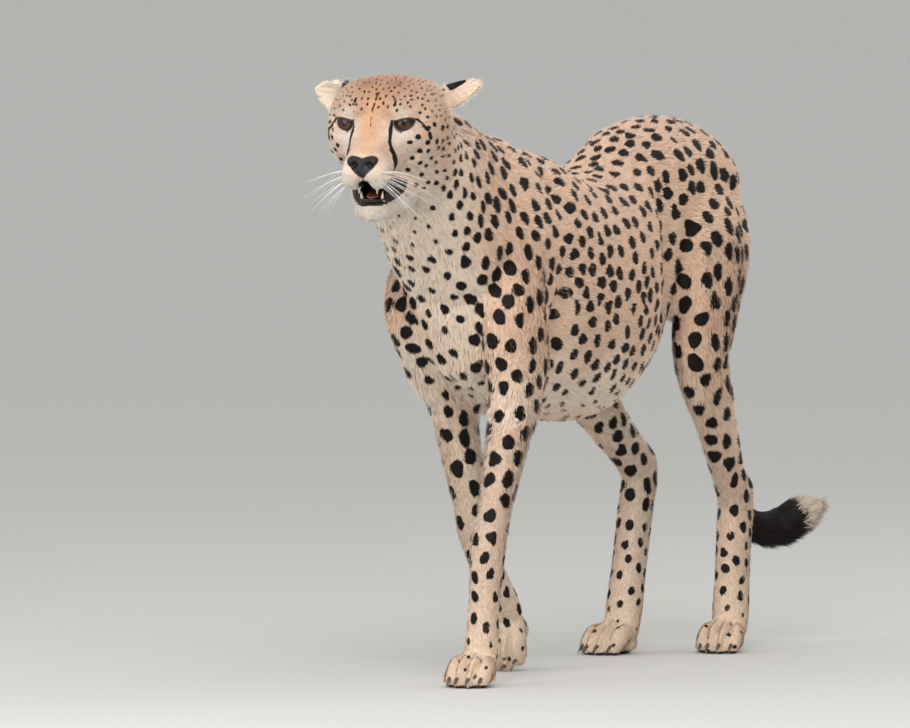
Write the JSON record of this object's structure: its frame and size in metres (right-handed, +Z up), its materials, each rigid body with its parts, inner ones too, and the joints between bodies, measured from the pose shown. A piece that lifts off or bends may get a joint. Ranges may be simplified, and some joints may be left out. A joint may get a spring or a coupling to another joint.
{
  "type": "cheetah",
  "caption": "life-size standing cheetah, a still museum-style model with its mouth a little open and one forepaw flexed",
  "frame": {"origin": "on the floor, under the middle of the whole animal's bounding box", "axes": "+Z up, the animal faces -Y, its left side is at +X"},
  "size_m": [0.2382, 1.3075, 0.8282],
  "materials": {
    "coat": "short matt fur, tawny with dark spots",
    "eye": "wet gloss, dark amber",
    "claw": "satin horn",
    "nose": "black, slightly moist",
    "tongue": "moist, dark pink"
  },
  "bodies": {
    "root": {"head": "coat", "lower_jaw": "coat", "ear_left": "coat", "ear_right": "coat", "neck": "coat", "chest": "coat", "belly": "coat", "rump": "coat", "tail_base": "coat", "tail_middle": "coat", "tail_tip": "coat", "fore_paw_left": "coat", "forearm_left": "coat", "upper_arm_left": "coat", "hind_paw_left": "coat", "hind_foot_left": "coat", "shank_left": "coat", "thigh_left": "coat", "fore_paw_right": "coat", "forearm_right": "coat", "upper_arm_right": "coat", "hind_paw_right": "coat", "hind_foot_right": "coat", "shank_right": "coat", "thigh_right": "coat", "eye_left": "eye", "eye_right": "eye", "claw_left_fore_1": "claw", "claw_left_fore_2": "claw", "claw_left_fore_3": "claw", "claw_left_fore_4": "claw", "claw_left_hind_1": "claw", "claw_left_hind_2": "claw", "claw_left_hind_3": "claw", "claw_left_hind_4": "claw", "claw_right_fore_1": "claw", "claw_right_fore_2": "claw", "claw_right_fore_3": "claw", "claw_right_fore_4": "claw", "claw_right_hind_1": "claw", "claw_right_hind_2": "claw", "claw_right_hind_3": "claw", "claw_right_hind_4": "claw", "nose": "nose", "tongue": "tongue"}
  },
  "joints": []
}
